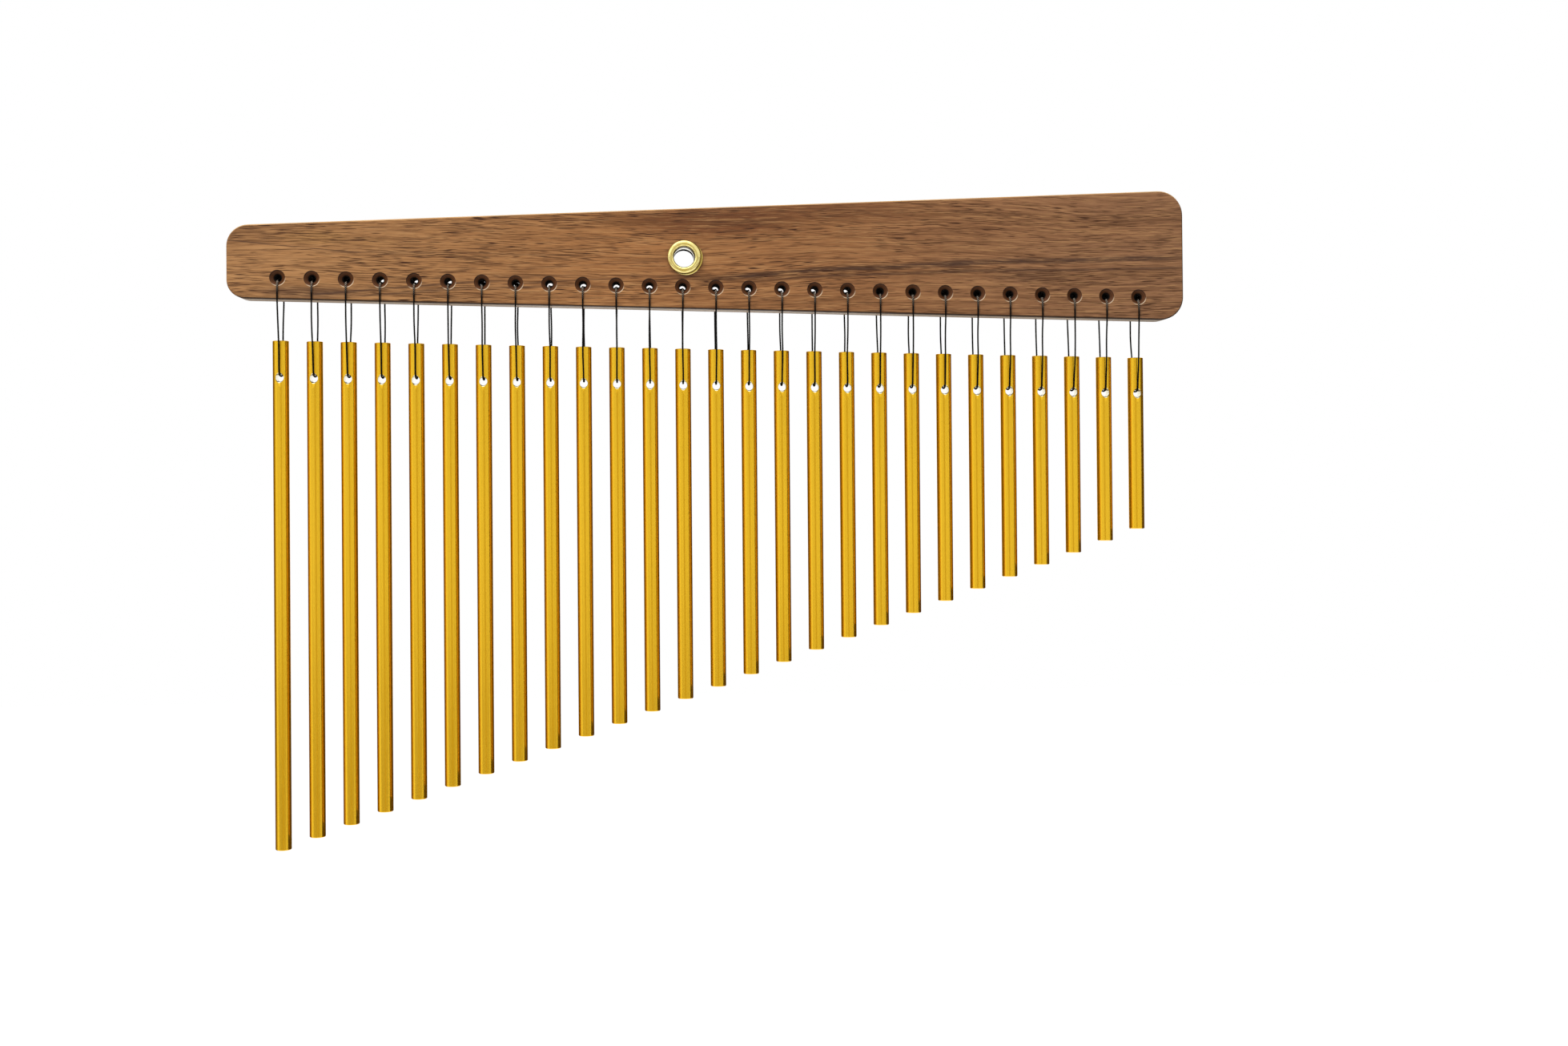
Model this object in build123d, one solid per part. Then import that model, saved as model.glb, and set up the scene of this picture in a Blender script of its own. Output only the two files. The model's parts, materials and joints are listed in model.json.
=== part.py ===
from build123d import *
import math
import os

# Bar chimes: a tapered wooden mantle with a hanging grommet and a row of metal bars on cord loops.
# Millimetres. Origin in the middle of the grommet's bore, +X along the mantle to its wide end,
# -Y out of the front face, +Z up.

# Row of bars
BAR_COUNT = 27
BAR_PITCH = 20.25
BAR_DIAMETER = 9.5
LONGEST_BAR = 307.0
SHORTEST_BAR = 107.0
BAR_END_CHAMFER = 0.4
BAR_DROP = 37.4                  # from a mantle hole's axis down to the top of its bar

# Cross hole of a bar, drilled front to back
CROSS_HOLE_DIAMETER = 4.8
CROSS_HOLE_RIM = 1.3             # width of the countersink around it
CROSS_HOLE_DEPTH = 22.4          # from the bar's top down to the hole's axis

# Mantle
MANTLE_THICKNESS = 19.0
NARROW_END_HEIGHT = 43.5
NARROW_END_RISE = 18.9           # the narrow end's upper corner above the grommet's axis
WIDE_END_HEIGHT = 81.1
WIDE_END_RISE = 42.1             # the wide end's upper corner above the grommet's axis
NARROW_END_MARGIN = 30.0         # from the narrow end to the longest bar
WIDE_END_MARGIN = 28.5           # from the shortest bar to the wide end
UPPER_NARROW_CORNER = 13.0       # radii of the corners, each rounded by hand
LOWER_NARROW_CORNER = 11.0
UPPER_WIDE_CORNER = 15.0
LOWER_WIDE_CORNER = 14.0
EDGE_RADIUS = 1.0
GROMMET_FROM_FIRST_BAR = 244.0

# Holes of the mantle that the cords pass through
MANTLE_HOLE_DIAMETER = 4.0
MANTLE_HOLE_RIM = 2.6            # width of the countersink around it
MANTLE_HOLE_EASE = 1.0           # rounding of the countersink's outer edge
FIRST_HOLE_HEIGHT = 12.7         # the longest bar's hole above the mantle's lower edge
LAST_HOLE_HEIGHT = 13.7          # the shortest bar's hole above the mantle's lower edge

# Cord loops
CORD_DIAMETER = 1.1
CORD_CLEARANCE = 0.3             # between a cord and what it lies on
CORD_BEND_RADIUS = 1.5
CORD_EASY_RADIUS = 20.0          # the gentle bend below the mantle's lower edge
CORD_PAST_EDGE = 1.2             # how far below the lower edge the strands stay upright
KNOT_DIAMETER = 2.8

# Grommet
GROMMET_BORE = 12.7
GROMMET_WALL = 0.6
GROMMET_PLAY = 0.1               # between the grommet's barrel and the wood
LIP_RADIUS = 1.5                 # roll from the bore out to the crest of a flange
FRONT_FLANGE_WIDTH = 2.35        # from the crest to the flange's outer edge
REAR_FLANGE_WIDTH = 1.6
FLANGE_EDGE = 0.4                # thickness left at a flange's outer edge
WASHER_THICKNESS = 0.8
WASHER_OVERLAP = 0.2             # how far a washer's radius passes the front flange's
WASHER_CHAMFER = 0.25
FRONT_WASHER_SHIFT_X = 1.0       # the front washer sits off centre
FRONT_WASHER_SHIFT_Z = -0.6

# Worked out from the sizes above
BAR_RADIUS = BAR_DIAMETER / 2
FACE = MANTLE_THICKNESS / 2
MANTLE_HOLE_MOUTH = MANTLE_HOLE_DIAMETER / 2 + MANTLE_HOLE_RIM
FIRST_BAR_X = -GROMMET_FROM_FIRST_BAR
LAST_BAR_X = FIRST_BAR_X + (BAR_COUNT - 1) * BAR_PITCH
NARROW_END_X = FIRST_BAR_X - NARROW_END_MARGIN
WIDE_END_X = LAST_BAR_X + WIDE_END_MARGIN
NARROW_END_FOOT = NARROW_END_RISE - NARROW_END_HEIGHT
WIDE_END_FOOT = WIDE_END_RISE - WIDE_END_HEIGHT
BAR_STEP = (LONGEST_BAR - SHORTEST_BAR) / (BAR_COUNT - 1)
HOLE_STEP = (LAST_HOLE_HEIGHT - FIRST_HOLE_HEIGHT) / (BAR_COUNT - 1)
BORE_RADIUS = GROMMET_BORE / 2
BARREL_RADIUS = BORE_RADIUS + GROMMET_WALL
FLANGE_SEAT = FACE + WASHER_THICKNESS
CREST_RADIUS = BORE_RADIUS + LIP_RADIUS
FRONT_FLANGE_RADIUS = CREST_RADIUS + FRONT_FLANGE_WIDTH
REAR_FLANGE_RADIUS = CREST_RADIUS + REAR_FLANGE_WIDTH
WASHER_RADIUS = FRONT_FLANGE_RADIUS + WASHER_OVERLAP
WASHER_SHIFT = math.hypot(FRONT_WASHER_SHIFT_X, FRONT_WASHER_SHIFT_Z)
SAME_SIZE = 0.001                # two sizes this close are the same


def bar_x(index):
    """Where a bar hangs along the mantle, counted from the longest."""
    return FIRST_BAR_X + index * BAR_PITCH


def bar_length(index):
    return LONGEST_BAR - index * BAR_STEP


def lower_edge(x):
    """Height of the mantle's lower edge at a place along it."""
    share = (x - NARROW_END_X) / (WIDE_END_X - NARROW_END_X)
    return NARROW_END_FOOT + share * (WIDE_END_FOOT - NARROW_END_FOOT)


def hole_z(index):
    return lower_edge(bar_x(index)) + FIRST_HOLE_HEIGHT + index * HOLE_STEP


def turned(*outline):
    """A solid turned about the Y axis from an outline of radius and depth points."""
    return revolve(make_face(Polyline(*outline, close=True)), Axis.Y)


def countersunk_drill(diameter, rim, surface):
    """The space of a hole along Y, countersunk where it breaks through the surfaces at +-surface."""
    radius = diameter / 2
    neck = surface - rim
    mouth = radius + rim
    return turned(
        (0, -surface - rim),
        (mouth + rim, -surface - rim),
        (radius, -neck),
        (radius, neck),
        (mouth + rim, surface + rim),
        (0, surface + rim),
    )


def mantle():
    outline = FilletPolyline(
        (NARROW_END_X, NARROW_END_FOOT),
        (WIDE_END_X, WIDE_END_FOOT),
        (WIDE_END_X, WIDE_END_RISE),
        (NARROW_END_X, NARROW_END_RISE),
        radius=[LOWER_NARROW_CORNER, LOWER_WIDE_CORNER, UPPER_WIDE_CORNER, UPPER_NARROW_CORNER],
        close=True,
    )
    board = extrude(Plane.XZ * make_face(outline), FACE, both=True)
    sides = board.faces().sort_by(Axis.Y)
    board = fillet(sides[0].edges() + sides[-1].edges(), EDGE_RADIUS)
    drill = countersunk_drill(MANTLE_HOLE_DIAMETER, MANTLE_HOLE_RIM, FACE)
    cuts = [Pos(bar_x(index), 0, hole_z(index)) * drill for index in range(BAR_COUNT)]
    cuts.append(Rot(90, 0, 0) * Cylinder(BARREL_RADIUS + GROMMET_PLAY, 2 * MANTLE_THICKNESS))
    board -= cuts
    rings = board.edges().filter_by(GeomType.CIRCLE)
    mouths = rings.filter_by(lambda ring: math.isclose(ring.radius, MANTLE_HOLE_MOUTH, abs_tol=SAME_SIZE))
    return fillet(mouths, MANTLE_HOLE_EASE)


def flange_outline(seat, radius, side):
    """Section of a rolled flange, as lines and arcs of radius and depth, on one side of the mantle."""
    crest = seat + FLANGE_EDGE + LIP_RADIUS
    spring = crest - LIP_RADIUS
    roll = LIP_RADIUS * (1 - math.sqrt(0.5))
    dome = (crest - seat - FLANGE_EDGE) * math.sqrt(0.5)
    bore_end = (BORE_RADIUS, side * spring)
    top = (CREST_RADIUS, side * crest)
    rim = (radius, side * (seat + FLANGE_EDGE))
    middle = (CREST_RADIUS + (radius - CREST_RADIUS) * math.sqrt(0.5), side * (seat + FLANGE_EDGE + dome))
    return [
        ThreePointArc(bore_end, (BORE_RADIUS + roll, side * (crest - roll)), top),
        ThreePointArc(top, middle, rim),
        Line(rim, (radius, side * seat)),
        Line((radius, side * seat), (BARREL_RADIUS, side * seat)),
    ]


def grommet_eyelet():
    """The barrel through the mantle, with its domed front flange and its rolled rear flange."""
    spring = FLANGE_SEAT + FLANGE_EDGE
    section = flange_outline(FLANGE_SEAT, FRONT_FLANGE_RADIUS, -1)
    section += flange_outline(FLANGE_SEAT, REAR_FLANGE_RADIUS, 1)
    section.append(Line((BORE_RADIUS, -spring), (BORE_RADIUS, spring)))
    section.append(Line((BARREL_RADIUS, -FLANGE_SEAT), (BARREL_RADIUS, FLANGE_SEAT)))
    return revolve(make_face(section), Axis.Y)


def washer(hole_radius):
    """A flat ring that lies on the mantle's rear face, centred on the bore."""
    outer = WASHER_RADIUS - WASHER_CHAMFER
    edge = FLANGE_SEAT - WASHER_CHAMFER
    return turned(
        (hole_radius, FACE),
        (WASHER_RADIUS, FACE),
        (WASHER_RADIUS, edge),
        (outer, FLANGE_SEAT),
        (hole_radius, FLANGE_SEAT),
    )


def front_washer():
    ring = washer(BARREL_RADIUS + WASHER_SHIFT + GROMMET_PLAY)
    return Pos(FRONT_WASHER_SHIFT_X, 0, FRONT_WASHER_SHIFT_Z) * Rot(0, 0, 180) * ring


def rear_washer():
    return washer(BARREL_RADIUS + GROMMET_PLAY)


def bar(index):
    """A bar, drilled with its cross hole's axis at the origin and then hung below its mantle hole."""
    length = bar_length(index)
    rod = Pos(0, 0, CROSS_HOLE_DEPTH - length / 2) * Cylinder(BAR_RADIUS, length)
    rod = chamfer(rod.edges().filter_by(GeomType.CIRCLE), BAR_END_CHAMFER)
    rod -= countersunk_drill(CROSS_HOLE_DIAMETER, CROSS_HOLE_RIM, BAR_RADIUS)
    return Pos(bar_x(index), 0, hole_z(index) - BAR_DROP - CROSS_HOLE_DEPTH) * rod


def cord_route():
    """One loop's corners, front strand first, as depth and height from its mantle hole's axis."""
    off = CORD_DIAMETER / 2 + CORD_CLEARANCE
    hole_seat = -MANTLE_HOLE_DIAMETER / 2 + off
    strand = FACE + off
    lip = FACE - MANTLE_HOLE_MOUTH + off * math.sqrt(2)
    edge = -max(FIRST_HOLE_HEIGHT, LAST_HOLE_HEIGHT) - CORD_PAST_EDGE
    cross_axis = -BAR_DROP - CROSS_HOLE_DEPTH
    bar_seat = cross_axis + CROSS_HOLE_DIAMETER / 2 - off
    rim_depth = BAR_RADIUS + off
    rim_height = cross_axis + CROSS_HOLE_DIAMETER / 2 + CROSS_HOLE_RIM
    slant = (strand - rim_depth) / (edge - rim_height)
    half = [
        (lip - hole_seat, hole_seat),
        (strand, lip - strand),
        (strand, edge),
        (rim_depth - slant * (rim_height - bar_seat), bar_seat),
    ]
    front = [(0, -depth, height) for depth, height in half]
    rear = [(0, depth, height) for depth, height in reversed(half)]
    return front + rear


def cord_loop():
    """A loop of cord about its mantle hole, knotted in the rear countersink."""
    route = cord_route()
    tight = CORD_BEND_RADIUS
    easy = CORD_EASY_RADIUS
    radii = [tight, tight, easy, tight, tight, easy, tight, tight]
    path = FilletPolyline(*route, radius=radii, close=True)
    section = Plane(origin=path @ 0, z_dir=path % 0) * Circle(CORD_DIAMETER / 2)
    loop = sweep(section, path=path)
    lean = (KNOT_DIAMETER - CORD_DIAMETER) / 2 * math.sqrt(0.5)
    lower, upper = route[-2], route[-1]
    knot_y = (lower[1] + upper[1]) / 2 + lean
    knot_z = (lower[2] + upper[2]) / 2 + lean
    return loop + Pos(0, knot_y, knot_z) * Sphere(KNOT_DIAMETER / 2), path


def main():
    os.makedirs("parts", exist_ok=True)
    pieces = {
        "mantle": mantle(),
        "grommet_eyelet": grommet_eyelet(),
        "grommet_front_washer": front_washer(),
        "grommet_rear_washer": rear_washer(),
    }
    loop, path = cord_loop()
    section_area = math.pi * CORD_DIAMETER ** 2 / 4
    print(f"cord loop {path.length:.2f} mm round, section times length {section_area * path.length:.2f} mm3")
    print(f"cord bends {CORD_BEND_RADIUS} mm, and {CORD_EASY_RADIUS} mm below the mantle")
    for index in range(BAR_COUNT):
        number = f"{index + 1:02d}"
        pieces[f"chime_{number}"] = bar(index)
        pieces[f"cord_{number}"] = Pos(bar_x(index), 0, hole_z(index)) * loop
    for name, piece in pieces.items():
        export_step(piece, f"parts/{name}.step")


main()
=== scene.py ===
import json
import math
import random
from collections import namedtuple

import bmesh
import bpy
from mathutils import Matrix, Vector


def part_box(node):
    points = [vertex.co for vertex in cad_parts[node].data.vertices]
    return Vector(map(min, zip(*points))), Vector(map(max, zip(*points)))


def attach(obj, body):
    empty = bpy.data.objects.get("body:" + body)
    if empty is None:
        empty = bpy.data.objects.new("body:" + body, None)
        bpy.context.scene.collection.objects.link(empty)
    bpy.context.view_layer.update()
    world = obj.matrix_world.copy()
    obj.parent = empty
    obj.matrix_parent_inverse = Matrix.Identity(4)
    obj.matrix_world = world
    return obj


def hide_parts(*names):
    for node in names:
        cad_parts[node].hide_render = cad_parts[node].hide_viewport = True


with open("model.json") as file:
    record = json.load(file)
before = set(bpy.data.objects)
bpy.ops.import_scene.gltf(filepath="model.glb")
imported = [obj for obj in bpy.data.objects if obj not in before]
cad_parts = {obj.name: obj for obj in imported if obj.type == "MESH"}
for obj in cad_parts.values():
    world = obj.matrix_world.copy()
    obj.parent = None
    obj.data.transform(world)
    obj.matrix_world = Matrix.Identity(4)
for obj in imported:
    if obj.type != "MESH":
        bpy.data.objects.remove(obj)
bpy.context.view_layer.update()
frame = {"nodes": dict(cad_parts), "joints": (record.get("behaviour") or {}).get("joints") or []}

# Bar chimes: a tapered wooden mantle with a brass grommet, and gold bars that hang on loops of cord.
# Metres. Origin in the middle of the grommet's bore, +X along the mantle to its wide end,
# -Y out of the front face, +Z up.

# Camera, as the photograph was taken
LENS_MM = 40.68
CAMERA_PLACE = (-0.0234, -1.0918, -0.1347)
CAMERA_TURN_DEG = (90.528, 0.488, -4.408)
CAMERA_SHIFT_Y = -0.0399

# Bars
CROSS_HOLE_RADIUS = 0.0024
CROSS_HOLE_RIM = 0.0013             # width of the rounded countersink around it
RIM_PROUD = CROSS_HOLE_RIM / 10     # how far outside the wall the countersink's rounding ends
CROSS_HOLE_DEPTH = 0.0224           # from a bar's top down to the hole's axis
HOLE_CLEAR = 0.0065                 # half height of the band of the wall that the hole breaks
TOP_CHAMFER = 0.0002
FOOT_CHAMFER = 0.0004
BAR_SIDES = 128
DRILL_SIDES = 64
SHARP_DEG = 30                      # edges that turn more than this look sharp

# Grommet: the eyelet's bore, its rolled flanges and the two washers under them
BORE_RADIUS = 0.00635
BARREL_RADIUS = 0.00695
LIP_RADIUS = 0.0015
FRONT_FLANGE_WIDTH = 0.00235
REAR_FLANGE_WIDTH = 0.0016
FLANGE_EDGE = 0.0004
WASHER_THICKNESS = 0.0008
WASHER_RADIUS = 0.0104
WASHER_CHAMFER = 0.00025
WASHER_PLAY = 0.0001
FRONT_WASHER_SHIFT = (0.001, -0.0006)
REAR_SHADE_START = 0.0025              # depth behind which the barrel's inside is painted in shade
SHADE_END = -0.0030                  # depth at which its painted shade behind the front lip ends
GROMMET_SIDES = 128
ARC_STEPS = 12

# Cord loops. Points of depth and height from the mantle hole's axis, from the knot in the rear
# countersink through the hole, down the front, through the bar and up the back
CORD_DIAMETER = 0.0011
CORD_PIVOT_DROP = 0.00115           # a loop turns about its line in the mantle hole
KNOT_PLACE = (0.0092, -0.0004)      # where the loop's ends meet
KNOT_RISE = 0.0014                  # how much higher a knot sits that fills its hole
KNOT_LEAN = 0.0064                  # and how far out it sits, as a share of the hole's distance
# Holes whose knots hide the light behind them
FILLED_HOLES = ("01", "02", "03", "07", "08", *(str(number) for number in range(19, 28)))
LOOP_TOP = [(0.0072, -0.0013), (0.0050, -0.0010), (-0.0050, -0.0009), (-0.0072, -0.0011)]
STRAND_TOP = [(0.0088, -0.0027), (0.0102, -0.0041), (0.0102, -0.0064), (0.0102, -0.0140)]
STRAND_MIDDLE = [(0.0091, -0.0260), (0.0074, -0.0400)]
STRAND_FOOT = [(0.0060, -0.0525), (0.0056, -0.05685), (0.0042, -0.0582)]
LOOP_FOOT = (0.0, -0.0587)
STRAND_SWAY = 0.0004                # how far a strand wanders from its line
PLIES = 3
LAY_LENGTH = 0.0034                 # one turn of the plies around the cord
PLY_DEPTH = 0.28                    # depth of the groove between plies, as a share of the radius
LIP_BEND_DEPTH = 0.0080               # a loop bends over the lip in front of this depth, where its plies swell and have a painted highlight
LIP_BEND_LENGTH = 0.0070
LIP_BEND_FULLY = 0.3                  # share of that length before the swelling and painted highlight ease off
LIP_BEND_SWELL = 0.22                 # how much thicker the plies are where the loop bends over the lip
CORD_SIDES = 15
CORD_STEP = 0.0003
CORD_SHARP_DEG = 70
SPLINE_STEPS = 16
KNOT_SCALE = 0.00038
KNOT_STEPS = 96
KNOT_THICKNESS = 0.50               # radius of a knot's turns, as a share of the cord's diameter
TAIL_THICKNESS = 0.45               # and of its two cut ends
TAIL_LENGTHS = (0.0042, 0.0033)
TAIL_START = (0.0004, 0.0004)       # across and behind the knot's middle
TAIL_MIDDLE = (0.0016, 0.0017)
TAIL_END = (0.0022, 0.0019)
TAIL_BEND = 0.4                     # share of its length that a tail has dropped at its middle
TAIL_SPREAD = (0.0005, 0.0012)      # how far its middle and its end stray
RANDOM_SEED = 27

# Mantle
MANTLE_HOLE_BORE = 0.0020           # radius of a cord hole
MANTLE_HOLE_MOUTH = 0.0046          # radius of its countersink where it meets the face

NUMBERS = sorted(name.split("_")[1] for name in frame["nodes"] if name.startswith("chime_"))
PIVOTS = {joint["name"]: Vector(joint["pos_m"]) for joint in frame["joints"]}


def mantle_hole(number):
    """The middle of the mantle hole that a loop passes through."""
    return PIVOTS[f"cord_{number}_swing"] + Vector((0, 0, CORD_PIVOT_DROP))


def srgb(red, green, blue):
    """A colour as a screen shows it, from 0 to 255, as the linear values that a shader takes."""
    linear = []
    for part in (red, green, blue):
        share = part / 255
        linear.append(share / 12.92 if share <= 0.04045 else ((share + 0.055) / 1.055) ** 2.4)
    return (*linear, 1)


class Paint:
    """One material's nodes, made a step at a time. A value is a number, a tuple or a node's output."""

    def __init__(self, name):
        self.material = bpy.data.materials.new(name)
        self.material.use_nodes = True
        self.tree = self.material.node_tree
        self.tree.nodes.clear()
        self.shader = self.add("ShaderNodeBsdfPrincipled")
        output = self.add("ShaderNodeOutputMaterial")
        self.tree.links.new(self.shader.outputs["BSDF"], output.inputs["Surface"])
        coordinates = self.add("ShaderNodeTexCoord")
        self.place = coordinates.outputs["Object"]
        self.facing = coordinates.outputs["Normal"]

    def add(self, kind, **settings):
        node = self.tree.nodes.new(kind)
        for name, value in settings.items():
            setattr(node, name, value)
        return node

    def feed(self, socket, value):
        if isinstance(value, bpy.types.NodeSocket):
            self.tree.links.new(value, socket)
        else:
            socket.default_value = value

    def finish(self, **sockets):
        """Feeds the shader's sockets, named with underscores for spaces."""
        for name, value in sockets.items():
            self.feed(self.shader.inputs[name.replace("_", " ").title().replace("Ior", "IOR")], value)
        return self.material

    def math(self, operation, *values, clamp=False):
        node = self.add("ShaderNodeMath", operation=operation, use_clamp=clamp)
        for socket, value in zip(node.inputs, values):
            self.feed(socket, value)
        return node.outputs[0]

    def split(self, vector):
        node = self.add("ShaderNodeSeparateXYZ")
        self.feed(node.inputs[0], vector)
        return node.outputs[0], node.outputs[1], node.outputs[2]

    def join(self, x, y, z):
        node = self.add("ShaderNodeCombineXYZ")
        for socket, value in zip(node.inputs, (x, y, z)):
            self.feed(socket, value)
        return node.outputs[0]

    def scaled(self, vector, x, y, z):
        node = self.add("ShaderNodeVectorMath", operation="MULTIPLY")
        self.feed(node.inputs[0], vector)
        self.feed(node.inputs[1], (x, y, z))
        return node.outputs[0]

    def noise(self, vector, detail, roughness=0.5):
        node = self.add("ShaderNodeTexNoise")
        self.feed(node.inputs["Vector"], vector)
        self.feed(node.inputs["Scale"], 1.0)
        self.feed(node.inputs["Detail"], detail)
        self.feed(node.inputs["Roughness"], roughness)
        return node.outputs["Fac"]

    def grain(self, place, grain):
        stretched = self.scaled(place, grain.x, grain.y, grain.z)
        return self.noise(stretched, grain.detail, grain.roughness)

    def fade(self, value, low, high, start=0.0, end=1.0):
        """Goes smoothly from start to end as the value goes from low to high."""
        node = self.add("ShaderNodeMapRange", interpolation_type="SMOOTHSTEP")
        for socket, part in zip(node.inputs, (value, low, high, start, end)):
            self.feed(socket, part)
        return node.outputs[0]

    def ramp(self, value, stops):
        node = self.add("ShaderNodeValToRGB")
        elements = node.color_ramp.elements
        while len(elements) < len(stops):
            elements.new(0.5)
        for element, (position, colour) in zip(elements, stops):
            element.position = position
            element.color = colour
        self.feed(node.inputs[0], value)
        return node.outputs[0]

    def mix(self, share, first, second):
        """A share of the second colour in the first. Sockets 6, 7 and 2 are the node's colour ones."""
        node = self.add("ShaderNodeMix", data_type="RGBA", blend_type="MIX")
        self.feed(node.inputs[0], share)
        self.feed(node.inputs[6], first)
        self.feed(node.inputs[7], second)
        return node.outputs[2]

    def bump(self, height, strength, distance):
        node = self.add("ShaderNodeBump")
        self.feed(node.inputs["Strength"], strength)
        self.feed(node.inputs["Distance"], distance)
        self.feed(node.inputs["Height"], height)
        return node.outputs[0]


# A noise: its cells per metre along each axis, its detail and its roughness
Grain = namedtuple("Grain", "x y z detail roughness", defaults=(0.5,))

# Figure of the mantle's wood: dark streaks along the board, and patches of other tone, in metres; the last
# patch is a painted shadow of the grommet
Streak = namedtuple("Streak", "start end start_height end_height bow width strength")
STREAKS = [
    Streak(0.000, 0.330, -0.0140, 0.0013, 0.0026, 0.0028, 0.95),
    Streak(0.030, 0.330, -0.0144, -0.0054, 0.0016, 0.0014, 0.70),
    Streak(-0.290, -0.190, 0.0112, 0.0024, -0.0008, 0.0006, 0.75),
    Streak(-0.225, -0.060, 0.0028, 0.0006, 0.0004, 0.0009, 0.40),
    Streak(-0.235, -0.100, -0.0236, -0.0142, 0.0008, 0.0012, 0.80),
    Streak(-0.205, -0.060, -0.0240, -0.0166, 0.0006, 0.0011, 0.75),
    Streak(-0.180, -0.030, -0.0220, -0.0120, 0.0006, 0.0009, 0.60),
    Streak(-0.100, -0.008, -0.0072, -0.0020, 0.0000, 0.0008, 0.45),
    Streak(-0.130, 0.020, -0.0122, -0.0112, 0.0004, 0.0016, 0.35),
]
Patch = namedtuple("Patch", "x z half_length half_height colour strength")
PATCHES_AND_SHADOW = [
    Patch(0.018, 0.0225, 0.070, 0.0125, srgb(112, 62, 34), 0.85),
    Patch(0.085, 0.0285, 0.085, 0.0080, srgb(116, 68, 40), 0.65),
    Patch(-0.222, 0.0115, 0.026, 0.0055, srgb(196, 144, 84), 0.70),
    Patch(-0.187, 0.0085, 0.018, 0.0040, srgb(190, 138, 82), 0.50),
    Patch(-0.225, -0.0215, 0.040, 0.0048, srgb(92, 64, 46), 0.75),
    Patch(0.168, -0.0055, 0.013, 0.0060, srgb(84, 58, 44), 0.55),
    Patch(0.215, -0.0105, 0.032, 0.0060, srgb(108, 78, 58), 0.45),
    Patch(0.220, 0.0180, 0.120, 0.0100, srgb(146, 98, 62), 0.35),
    # a painted shadow of the grommet, soft and offset below and to its right
    Patch(0.0019, -0.0016, 0.0135, 0.0135, srgb(62, 36, 20), 1.00),
]
WOOD_TONES = [
    (0.00, srgb(180, 129, 80)),
    (0.35, srgb(173, 117, 69)),
    (0.70, srgb(165, 112, 69)),
    (1.00, srgb(156, 111, 77)),
]
STREAK_CORE = 0.15                  # share of a streak's width that has its full strength
STREAK_TAPER = 0.12                 # share of its length over which each end fades
GRAIN_WANDER = 0.007                # how far the grain wanders up and down
GRAIN_SWEEP = 0.024
WANDER = Grain(6, 8, 8, 2)
SWEEP = Grain(3.5, 8, 8, 1)
BANDS = Grain(5, 70, 150, 3)
LINES = Grain(14, 220, 480, 3)
FIBRES = Grain(60, 900, 2000, 3, 0.6)
SHORT_PORES = Grain(110, 1500, 2900, 0)
LONG_PORES = Grain(40, 1200, 2400, 1)
PORE_CROWDS = Grain(14, 40, 90, 2)

# Fades: as a noise goes from the first value to the second, a share goes from the third to the fourth
PORE_LIMIT = (0.30, 0.70, 0.66, 0.50)
SHORT_PORE = (0.0, 0.18, 0.0, 1.0)
LONG_PORE = (0.56, 0.74, 0.0, 0.8)
BAND_SHADE = (0.42, 0.70, 0.0, 0.36)
LINE_SHADE = (0.48, 0.70, 0.0, 0.36)
LINE_GLINT = (0.30, 0.46, 0.30, 0.0)
FIBRE_SHADE = (0.50, 0.70, 0.0, 0.55)
FIBRE_GLINT = (0.30, 0.50, 0.52, 0.0)
STREAK_RAGGED = (0.30, 0.58, 0.25, 1.0)

# Cord holes: a fade as above, or where a ring starts and ends from the edge of the mouth or of the bore
LIP_RISE = (-0.0003, 0.0001)
LIP_FALL = (0.0001, 0.0005)
CONE_EDGE = (-0.0001, 0.0003)
CONE_SHADE = (-0.0009, -0.0002)
BORE_SHADE = (0.0001, 0.0012)
LIT_SIDE = (0.35, -0.9)            # across and up: the side on which a lip has a painted highlight
LIP_HIGHLIGHT = (0.25, 0.85, 0.0, 0.9)
SHADED_CONE = (-0.9, 0.3, 0.85, 0.2)
DRILL_RINGS = 2600.0                # cells of noise per metre out from a hole's axis
RING_SHADE = (0.35, 0.65, 0.0, 0.6)

# Rounded edges: fades of how squarely a surface faces front or back, down and to the wide end, or up, for
# their painted shade below and at the wide end and painted highlight on top
ROUND_STARTS = (0.15, 0.40)
ROUND_ENDS = (0.90, 0.99, 1.0, 0.0)
SHADED_SIDE = (0.6, -0.8)          # along and up: the side turned from the light, painted in shade
SHADED_EDGE = (0.10, 0.40, 0.0, 0.9)
HIGHLIT_EDGE = (0.20, 0.60, 0.0, 0.8)
UNDERSIDE = (-0.95, -0.80, 0.85, 0.0)
REFLECTION_STARTS = (-0.0055, -0.0030)     # depths between which the underside turns from painted shade to a painted reflection
REFLECTION_FADES = (0.000, 0.006)

WOOD_ROUGHNESS = 0.34
FIBRE_ROUGHNESS = 0.18              # what fibres, pores and the bores' painted shade add to it
PORE_ROUGHNESS = 0.2
BORE_ROUGHNESS = 0.5
WOOD_GLOSS = 0.2
FIBRE_HEIGHT = 0.4                  # of a fibre, where a pore is 1 deep
WOOD_BUMP = (0.25, 0.0002)          # strength and depth
STREAK_COLOUR = srgb(68, 47, 38)
PORE_COLOUR = srgb(68, 38, 18)
FIBRE_COLOUR = srgb(104, 66, 36)
GLINT_COLOUR = srgb(200, 150, 98)
CONE_COLOUR = srgb(106, 62, 30)
# painted shade on the cones' upper side, which is also the colour of the drill's rings
CONE_RINGS_AND_SHADE = srgb(40, 22, 12)
# near-black painted shade in the bores
BORE_SHADE_COLOUR = srgb(10, 6, 4)
# painted highlight on the lower lips
LIP_HIGHLIGHT_COLOUR = srgb(232, 206, 172)
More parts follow.
